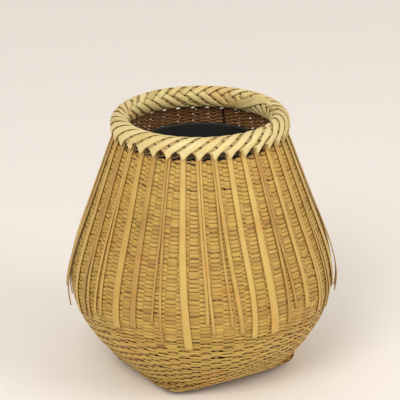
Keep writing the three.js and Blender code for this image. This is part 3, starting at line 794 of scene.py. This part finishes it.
outer_low, outer_high = chord_angles(OUTER_HOOP_OFFSET)
inner_low, inner_high = chord_angles(INNER_HOOP_OFFSET)
hoop_spans = {
    "outer_rim_hoop": (outer_low, outer_high),
    "inner_rim_hoop": (inner_high, inner_low + 2 * math.pi),
}
for name, (first, last) in hoop_spans.items():
    hoop_radius, hoop_height = on_core(np.linspace(first, last, HOOP_ARC_STEPS), 0)
    hoop = turned_mesh(name + "_split", hoop_radius, hoop_height, HOOP_COLUMNS, True, smoked_bamboo)
    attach(hoop, "basket")
    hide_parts(name)

# Hanging splints
# Loose splits of bamboo are clamped under the outer hoop and hang down over the weave. Many have
# torn lengthwise from their tips, so they end in two thin legs.

SPLINT_COUNT = 36
SPLINT_PLACES = 60
SPLINT_THICKNESS = 0.0008
SPLINT_SEAT_GAP = 0.0003
# The splints' edges are painted darker: painted shade along their sides.
SPLINT_EDGE_SHADE = 0.35
SPLINT_WAVE = 0.0007
SPLINT_WAVE_TURNS = (0.4, 1.1)
WIDTH_CHANGE_SHARE = 0.35
WIDTH_CHANGE_RANGE = (0.4, 1.4)
TIP_READING_DEPTH = 0.0012
TIP_SEAT = 0.0008
# How much of each splint's length is split in two, from the left of the basket round the front.
FORK_SHARES = [
    0.3, 0, 0.45, 0.75, 0, 0, 0.6, 0, 0.25, 0.8, 0, 0, 0.5, 0, 0.35, 0.7, 0, 0.4,
    0, 0.55, 0, 0.35, 0.8, 0, 0, 0.6, 0.45, 0, 0.7, 0, 0.3, 0.5, 0, 0.65, 0, 0.4,
]
FORK_GAPS = (0.0006, 0.0062)
FORK_CUT_SHARES = (0.36, 0.64)
FORK_CUT_LOSS = 0.00004
LEG_LOSS_SHARE = 0.12
LEG_TONE_CHANGE = 0.12

splint_bamboo = bamboo_material(
    "splint_bamboo",
    light=(0.63, 0.435, 0.12), middle=(0.53, 0.33, 0.075), dark=(0.38, 0.20, 0.045),
    inner=(0.20, 0.09, 0.035), roughness=0.45, grain_depth=0.00012,
)
splint_seat = SPLINT_SEAT_GAP + SPLINT_THICKNESS / 2


def splint_ends(node):
    """Azimuth, height, width and stand-off of a splint's tip and top, read from its solid."""
    found = []
    points = solid_points(node)
    for end in (points[:, 2].min(), points[:, 2].max()):
        near = points[np.abs(points[:, 2] - end) < TIP_READING_DEPTH]
        middle = near.mean(0)
        azimuth = math.atan2(middle[1], middle[0])
        tangent = np.array([-math.sin(azimuth), math.cos(azimuth), 0])
        width = np.ptp(near @ tangent)
        surface = on_wall(np.array(azimuth), np.array(middle[2]), 0)
        off = math.hypot(middle[0], middle[1]) - math.hypot(surface[0], surface[1])
        found.append((azimuth, middle[2], width, off))
    return found


for number in range(SPLINT_COUNT):
    node = "splint_%02d" % (number + 1)
    tip, top = splint_ends(node)
    tip_azimuth, tip_height, tip_width, tip_off = tip
    top_azimuth, top_height, top_width, _ = top
    tip_azimuth = top_azimuth + (tip_azimuth - top_azimuth + math.pi) % (2 * math.pi) - math.pi
    fork = FORK_SHARES[number]
    # One row for each leg of a torn splint, or a single row. Torn legs part and end apart.
    leg = np.array([[-1.0], [1.0]]) if fork else np.array([[0.0]])
    fallen = np.linspace(0, 1, SPLINT_PLACES)[None]
    short_leg = random.choice([-1, 1])
    loss = np.where(leg == short_leg, random.uniform(0, LEG_LOSS_SHARE), 0)
    height = top_height + (tip_height - top_height) * fallen * (1 - loss)
    below = np.clip((hole_bottom - height) / (hole_bottom - tip_height), 0, 1)
    off = splint_seat + max(tip_off - TIP_SEAT, 0) * below**3
    change = 1 + WIDTH_CHANGE_SHARE * random.uniform(*WIDTH_CHANGE_RANGE)
    width = top_width + (tip_width - top_width) * np.minimum(1, 2 * below)
    width = width * (1 + (change - 1) * below)
    torn = np.clip((below - (1 - fork)) / max(fork, 0.01), 0, 1)
    # The split seldom runs down the middle, so one leg is wider than the other.
    cut_share = random.uniform(*FORK_CUT_SHARES) if fork else 0.5
    leg_share = np.where(leg == 0, 1, np.where(leg < 0, cut_share, 1 - cut_share))
    widths = width * leg_share - FORK_CUT_LOSS
    gap = random.uniform(*FORK_GAPS)
    shift = leg * (width - widths) / 2 + leg * torn * gap / 2
    wave_turns = below * random.uniform(*SPLINT_WAVE_TURNS) + random.uniform()
    shift = shift + SPLINT_WAVE * below * np.sin(2 * math.pi * wave_turns)
    radius = smooth_curve(height, row_heights, row_radii)
    azimuth = top_azimuth + (tip_azimuth - top_azimuth) * below + shift / radius
    middle = on_wall(azimuth, height, off)
    outward = unit(on_wall(azimuth, height, PROBE_STEP) - on_wall(azimuth, height, 0))
    leg_tones = random.uniform(0, 1) + random.uniform(-LEG_TONE_CHANGE, LEG_TONE_CHANGE, len(leg))
    splint = strips_mesh(
        "hanging_" + node, middle, outward, widths, SPLINT_THICKNESS, leg_tones, splint_bamboo,
        edge_shade=SPLINT_EDGE_SHADE,
    )
    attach(splint, "basket")
    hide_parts(node)

# Rim lashing
# One long pale strip goes six holes forward over the rim and five back. Outside, its forward runs
# lie over the back runs and inside under them, and they change over on a spine inside the crest.

FORWARD_COUNT = 6
BACK_COUNT = 5
HOLE_ANGLE = -57 * DEGREE
SPINE_ANGLE = 144 * DEGREE
IN_HOLE_SHARE = 0.02
PLACES_PER_RUN = 84
STRIP_CROWN = 0.00016
UNDER_COVER = 0.43
FULL_COVER = 0.40
LEAST_COVER = 0.30
PINCH_COVER = 0.2
PINCH_SHARE = 0.02
PINCH_COUNT = 3
PINCH_RARITY = 1.8
PINCHED_COVER = 0.1
FOLD_SHARE = 0.13
INNER_FOLD_SHARE = 0.20
FOLDED_SHARE = 0.05
TIP_DROP = 0.0016
RUN_TONES = (0.35, 1.0)
# A run is painted darker where it lies in the under layer: painted shade under the upper strips.
UNDER_LAYER_SHADE = 0.75
LASH_HALF_WIDTH = 0.0028
FOLD_RISE = 52 * DEGREE
FORWARD_FOLD_OFFSET = 0.40
BACK_FOLD_OFFSET = 0.43
FOLD_COVER = 0.09
TIP_STAND_OFF = 0.0010
CHANGE_SHARE = 0.012

spine_share = (SPINE_ANGLE - HOLE_ANGLE) / (2 * math.pi)
pale_bamboo = bamboo_material(
    "pale_bamboo",
    light=(0.76, 0.64, 0.31), middle=(0.68, 0.535, 0.22), dark=(0.42, 0.27, 0.085),
    inner=(0.50, 0.34, 0.13), roughness=0.45, grain_depth=0.00008,
)

share = np.linspace(0, 1, PLACES_PER_RUN, endpoint=False)
gone_outside = ramp_share(share, IN_HOLE_SHARE, spine_share)
gone_inside = ramp_share(share, spine_share, 1 - IN_HOLE_SHARE)
gone = (gone_outside + gone_inside) / 2
lash_pitch = 2 * math.pi / PITCH_COUNT
# Runs by direction, then by place, then by how far across the strip each point lies.
hole = np.arange(PITCH_COUNT)[:, None, None, None]
is_forward = np.array([True, False])[None, :, None, None]
over = np.array([-1, -0.6, -0.2, 0.2, 0.6, 1])[None, None, None, :]
at = share[None, None, :, None]
passed = gone[None, None, :, None]
leading = np.where(is_forward, 1, -1)
# The crossings are numbered along a run, and the change lies between the fifth and the sixth.
crossings = FORWARD_COUNT + BACK_COUNT
change = (crossings / 2 - leading * over * FULL_COVER) / crossings
turned_under = eased(ramp_share(passed, change - CHANGE_SHARE, change + CHANGE_SHARE))
layer = np.where(is_forward, 1 - turned_under, turned_under)
cover = random.uniform(LEAST_COVER, FULL_COVER, (PITCH_COUNT, 2, 1, 1))
# Here and there the upper strip draws in, and the layer under it shows through.
for _ in range(PINCH_COUNT):
    pinch_place = random.uniform(FOLD_SHARE, 1 - FOLD_SHARE, (PITCH_COUNT, 2, 1, 1))
    pinch_depth = PINCH_COVER * random.uniform(0, 1, (PITCH_COUNT, 2, 1, 1)) ** PINCH_RARITY
    pinched = np.clip(2 - np.abs(at - pinch_place) / PINCH_SHARE, 0, 1)
    cover = np.maximum(cover - pinch_depth * pinched, PINCHED_COVER)
cover = UNDER_COVER + (cover - UNDER_COVER) * layer
path = np.where(is_forward, FORWARD_COUNT * passed, FORWARD_COUNT - BACK_COUNT * passed)
# A strip folds round the edge of a stake into its hole: it shifts to that side and ends in a point.
outer_fold = eased(1 - ramp_share(at, 0, FOLD_SHARE))
inner_fold = eased(ramp_share(at, 1 - INNER_FOLD_SHARE, 1 - FOLDED_SHARE))
fold = outer_fold + inner_fold
side = np.where(at < 0.5, leading, -leading)
reach = cover + (FOLD_COVER - cover) * fold
fold_offset = np.where(is_forward, FORWARD_FOLD_OFFSET, BACK_FOLD_OFFSET)
strip_azimuth = HOLE_START + (hole + path + side * fold_offset * fold + over * reach) * lash_pitch
rise = FOLD_RISE * fold * (1 - over * side) / 2
strip_angle = HOLE_ANGLE + at * 2 * math.pi + np.where(at < 0.5, rise, -rise)
crown = STRIP_CROWN * (1 - over * over)
at_tip = fold * (1 + over * side) / 2 * (at < 0.5)
under_face = STRIP_GAP + layer * (STRIP_THICKNESS + STRIP_GAP) + TIP_STAND_OFF * at_tip + crown
upper_face = under_face + STRIP_THICKNESS


def on_rim(angle, stand_off, azimuth, drop=0.0):
    """A point that stands off the oval core, and then drops along the slope of the wall."""
    radius, height = on_core(angle, stand_off)
    radius = radius + drop * math.sin(RIM_LEAN)
    return round_axis(radius, azimuth, height - drop * math.cos(RIM_LEAN))


under_side = on_rim(strip_angle, under_face, strip_azimuth, TIP_DROP * at_tip)[..., ::-1, :]
upper_side = on_rim(strip_angle, upper_face, strip_azimuth, TIP_DROP * at_tip)
section = np.concatenate([upper_side, under_side], 3)
corners = section.shape[3]
lash_points = section.reshape(-1, corners, 3)
lash_faces = grid_faces(len(lash_points), corners, False, True)
lashing = new_mesh_object("rim_lashing_strip", lash_points.reshape(-1, 3), lash_faces, pale_bamboo)
lash_line = lash_points.mean(1)
lash_steps = np.linalg.norm(np.diff(lash_line, axis=0), axis=1)
lash_lengths = np.concatenate(([0], np.cumsum(lash_steps)))
lash_across = np.concatenate([over.ravel(), over.ravel()[::-1]]) * LASH_HALF_WIDTH
lay_grain(lashing.data, np.repeat(lash_lengths, corners), np.tile(lash_across, len(lash_line)))
# Each run's tone, darkened where it lies under the upper strips: painted shade.
run_tones_and_shade = random.uniform(*RUN_TONES, (PITCH_COUNT, 2, 1, 1)) - UNDER_LAYER_SHADE * (1 - layer)
store_on_points(lashing.data, "tone", np.concatenate([run_tones_and_shade, run_tones_and_shade[..., ::-1]], 3))
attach(lashing, "basket")
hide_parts("rim_lashing")

# The strip's two ends are laid back over the inside of the rim, side by side, and tucked in.
END_PLACES = 60
END_WIDTHS = (0.0042, 0.0036)
END_AZIMUTHS = ((73, 26), (64, 17))
END_ANGLES = (214, 118)
END_TONES = (0.25, 0.6)
END_DIVE = 0.0016
END_DIVE_SHARES = (0.12, 0.86)

end_share = np.linspace(0, 1, END_PLACES)[None]
end_starts, end_finishes = np.array(END_AZIMUTHS).T[:, :, None] * DEGREE
end_azimuth = end_starts + (end_finishes - end_starts) * end_share
end_angle = (END_ANGLES[0] + (END_ANGLES[1] - END_ANGLES[0]) * eased(end_share)) * DEGREE
end_angle = np.broadcast_to(end_angle, end_azimuth.shape)
over_layers = 2 * (STRIP_GAP + STRIP_THICKNESS) + STRIP_CROWN
# Both tips dive under the strips beside them.
first_dive = eased(1 - ramp_share(end_share, 0, END_DIVE_SHARES[0]))
last_dive = eased(ramp_share(end_share, END_DIVE_SHARES[1], 1))
end_height = over_layers + STRIP_THICKNESS - END_DIVE * (first_dive + last_dive)
end_above = on_rim(end_angle, over_layers + 2 * PROBE_STEP, end_azimuth)
lashing_ends = strips_mesh(
    "rim_lashing_ends",
    on_rim(end_angle, end_height, end_azimuth),
    unit(end_above - on_rim(end_angle, over_layers, end_azimuth)),
    np.array(END_WIDTHS)[:, None],
    STRIP_THICKNESS,
    np.array(END_TONES),
    pale_bamboo,
)
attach(lashing_ends, "basket")
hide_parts("rim_lashing")

# Water cup
# A plain tapered beaker, moulded in near-black plastic with a rolled lip, stands loose inside the
# basket on the mat and holds the water.

CUP_RIM_RADIUS = 0.049
CUP_FOOT_RADIUS = 0.036
CUP_FOOT_BEVEL = (0.0006, 0.0008)
CUP_WALL = 0.0018
CUP_FLOOR = 0.0025
CUP_LIP_HEIGHT = 0.003
CUP_LIP_WIDTH = 0.0012
CUP_LIP_PLACES = 9
CUP_MOUTH_DROPS = (0.0001, 0.001)
CUP_AXIS_HOLE = 0.0005
CUP_COLUMNS = 160


def spotted_material(name, colours, roughnesses, spot_scale, spot_detail, metallic=0, depth=0):
    """A plain stuff whose colour and roughness change together from spot to spot."""
    material, nodes, links, shader = new_material(name)
    shader.inputs["Metallic"].default_value = metallic
    place = nodes.new("ShaderNodeTexCoord")
    spots = noise(nodes, links, place.outputs["Object"], spot_scale, spot_detail)
    colour = colour_ramp(nodes, links, spots, [(0, colours[0]), (1, colours[1])])
    links.new(colour, shader.inputs["Base Color"])
    rough = nodes.new("ShaderNodeMapRange")
    rough.inputs["To Min"].default_value, rough.inputs["To Max"].default_value = roughnesses
    links.new(spots, rough.inputs["Value"])
    links.new(rough.outputs["Result"], shader.inputs["Roughness"])
    if depth:
        add_bump(nodes, links, spots, depth, 1)
    return material


cup_low, cup_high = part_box("water_cup")
side = CUP_RIM_RADIUS - CUP_LIP_WIDTH
lip = np.linspace(-math.pi / 2, math.pi / 2, CUP_LIP_PLACES)
lip_middle = cup_high.z - CUP_LIP_HEIGHT / 2
floor_top = cup_low.z + CUP_FLOOR
bevel_width, bevel_height = CUP_FOOT_BEVEL
inner_foot = CUP_FOOT_RADIUS - CUP_WALL
inner_mouth = [cup_high.z - drop for drop in CUP_MOUTH_DROPS]
bevel_start = CUP_FOOT_RADIUS - bevel_width
cup_radius = np.concatenate((
    [CUP_AXIS_HOLE, CUP_FOOT_RADIUS - CUP_FLOOR, bevel_start, CUP_FOOT_RADIUS, side],
    side + CUP_LIP_WIDTH * np.cos(lip),
    [side - CUP_WALL, side - CUP_WALL, inner_foot, CUP_FOOT_RADIUS - 2 * CUP_WALL, CUP_AXIS_HOLE],
))
cup_height = np.concatenate((
    [cup_low.z, cup_low.z, cup_low.z + bevel_height, floor_top, cup_high.z - CUP_LIP_HEIGHT],
    lip_middle + CUP_LIP_HEIGHT / 2 * np.sin(lip),
    [*inner_mouth, floor_top + CUP_WALL, floor_top, floor_top],
))
cup_material = spotted_material(
    "black_cup",
    colours=[(0.006, 0.0065, 0.0055), (0.012, 0.0125, 0.0115)], roughnesses=(0.5, 0.64),
    spot_scale=60, spot_detail=6,
)
cup = turned_mesh("water_cup_moulding", cup_radius, cup_height, CUP_COLUMNS, False, cup_material)
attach(cup, "cup")
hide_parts("water_cup")

# Split pin and hanging ring
# A wire is bent double into an eye, pushed out through the wall, and its two legs are spread flat
# inside. The iron ring hangs free in the eye and takes the nail that the basket hangs on.

RING_RADIUS = 0.0125
RING_WIRE_RADIUS = 0.00125
RING_HAMMERING = 0.05
RING_PLACES = 96
WIRE_SIDES = 16

iron = spotted_material(
    "aged_iron",
    colours=[(0.045, 0.038, 0.034), (0.13, 0.075, 0.045)], roughnesses=(0.4, 0.75),
    spot_scale=420, spot_detail=5, metallic=0.8, depth=0.0001,
)
swing = next(joint for joint in frame["joints"] if joint["name"] == "ring_swing")
pivot = np.array(swing["pos_m"])
hinge = np.array(swing["axis"])
ring_solid = solid_points("hanging_ring")
ring_middle = (ring_solid.min(0) + ring_solid.max(0)) / 2
down = unit(ring_middle - pivot)
ring_middle = pivot + down * RING_RADIUS
ring_normal = np.cross(hinge, down)
around = np.linspace(0, 2 * math.pi, RING_PLACES, endpoint=False)
tube = np.linspace(0, 2 * math.pi, WIRE_SIDES, endpoint=False)
spoke = np.cos(around)[:, None] * hinge + np.sin(around)[:, None] * down
dents = (1 + np.sin(7 * around) * np.sin(3 * around + 1)) / 2
hammered = RING_WIRE_RADIUS * (1 - RING_HAMMERING * dents)
ring_points = (
    ring_middle
    + spoke[:, None] * (RING_RADIUS + hammered[:, None] * np.cos(tube))[..., None]
    + ring_normal * (hammered[:, None] * np.sin(tube))[..., None]
)
ring_faces = grid_faces(RING_PLACES, WIRE_SIDES, True, True)
ring = new_mesh_object("hanging_ring_iron", ring_points.reshape(-1, 3), ring_faces, iron)
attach(ring, "ring")
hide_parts("hanging_ring")

EYE_RADIUS = 0.0026
EYE_WIRE_RADIUS = 0.0009
LEG_WIDTH = 0.0019
LEG_THICKNESS = 0.0009
LEG_LENGTH = 0.008
LEG_PLACES = 48
LEG_BEND_SHARE = 0.35
LEG_RISE_START = 0.1
LEG_TAPER = ([0, 0.3, 0.85, 1], [0.62, 1, 1, 0.25])
SEAT_GAP = 0.0003
FOOT_SEARCH_STEPS = 4

# The pin's own directions: tangent to the wall, square out of it and up along it.
pin_azimuth = math.atan2(pivot[1], pivot[0])
foot_height = pivot[2]
for _ in range(FOOT_SEARCH_STEPS):
    # The pin's foot is the point of the wall's outer face from which the pivot lies square out.
    foot = on_wall(np.array(pin_azimuth), np.array(foot_height), 0)
    above = on_wall(np.array(pin_azimuth), np.array(foot_height + PROBE_STEP), 0)
    pin_up = unit(above - foot)
    foot_height = foot_height + (pivot - foot) @ pin_up * pin_up[2]
foot = on_wall(np.array(pin_azimuth), np.array(foot_height), 0)
pin_out = unit(pivot - foot)
pin_side = np.cross(pin_up, pin_out)


def wire_round(line, outward, half_width, half_depth, closed):
    """An oval section carried along a line. Its width lies square to both the line and outward."""
    if closed:
        ahead = np.roll(line, -1, 0) - np.roll(line, 1, 0)
    else:
        ahead = np.gradient(line, axis=0)
    side = unit(np.cross(outward, unit(ahead)))
    face = np.cross(unit(ahead), side)
    return (
        line[:, None]
        + side[:, None] * (half_width * np.cos(tube))[..., None]
        + face[:, None] * (half_depth * np.sin(tube))[..., None]
    )


eye_spoke = np.cos(around)[:, None] * pin_out + np.sin(around)[:, None] * pin_up
eye_line = pivot + EYE_RADIUS * eye_spoke
pin_tubes = [(wire_round(eye_line, pin_side[None], EYE_WIRE_RADIUS, EYE_WIRE_RADIUS, True), True)]
# Each half of the wire runs in through the wall, bends flat against its inside and ends in a point.
leg_share = np.linspace(0, 1, LEG_PLACES)[:, None]
inner_depth = WALL_THICKNESS + SEAT_GAP + LEG_THICKNESS / 2
taper = np.interp(leg_share[:, 0], *LEG_TAPER)[:, None]
half_width = LEG_WIDTH / 2 * taper
half_depth = LEG_THICKNESS / 2 * taper
for way in (1, -1):
    bent_in = eased(ramp_share(leg_share, 0, LEG_BEND_SHARE))
    risen = eased(ramp_share(leg_share, LEG_RISE_START, 1))
    depth = -inner_depth * bent_in + SEAT_GAP * (1 - leg_share)
    line = foot + pin_out * depth + pin_up * (way * LEG_LENGTH * risen)
    pin_tubes.append((wire_round(line, pin_out[None], half_width, half_depth, False), False))
pin_points = []
pin_faces = []
used = 0
for section_points, closed in pin_tubes:
    rows = len(section_points)
    pin_faces += (grid_faces(rows, WIRE_SIDES, closed, True) + used).tolist()
    if not closed:
        first_ring = np.arange(used, used + WIRE_SIDES)
        last_ring = first_ring + (rows - 1) * WIRE_SIDES
        pin_faces += [first_ring[::-1].tolist(), last_ring.tolist()]
    pin_points.append(section_points.reshape(-1, 3))
    used += rows * WIRE_SIDES
pin_mesh = bpy.data.meshes.new("split_pin")
pin_mesh.from_pydata(np.concatenate(pin_points).tolist(), [], pin_faces)
pin_mesh.materials.append(iron)
pin_mesh.shade_smooth()
pin = bpy.data.objects.new("split_pin_iron", pin_mesh)
bpy.context.scene.collection.objects.link(pin)
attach(pin, "basket")
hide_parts("ring_pin")
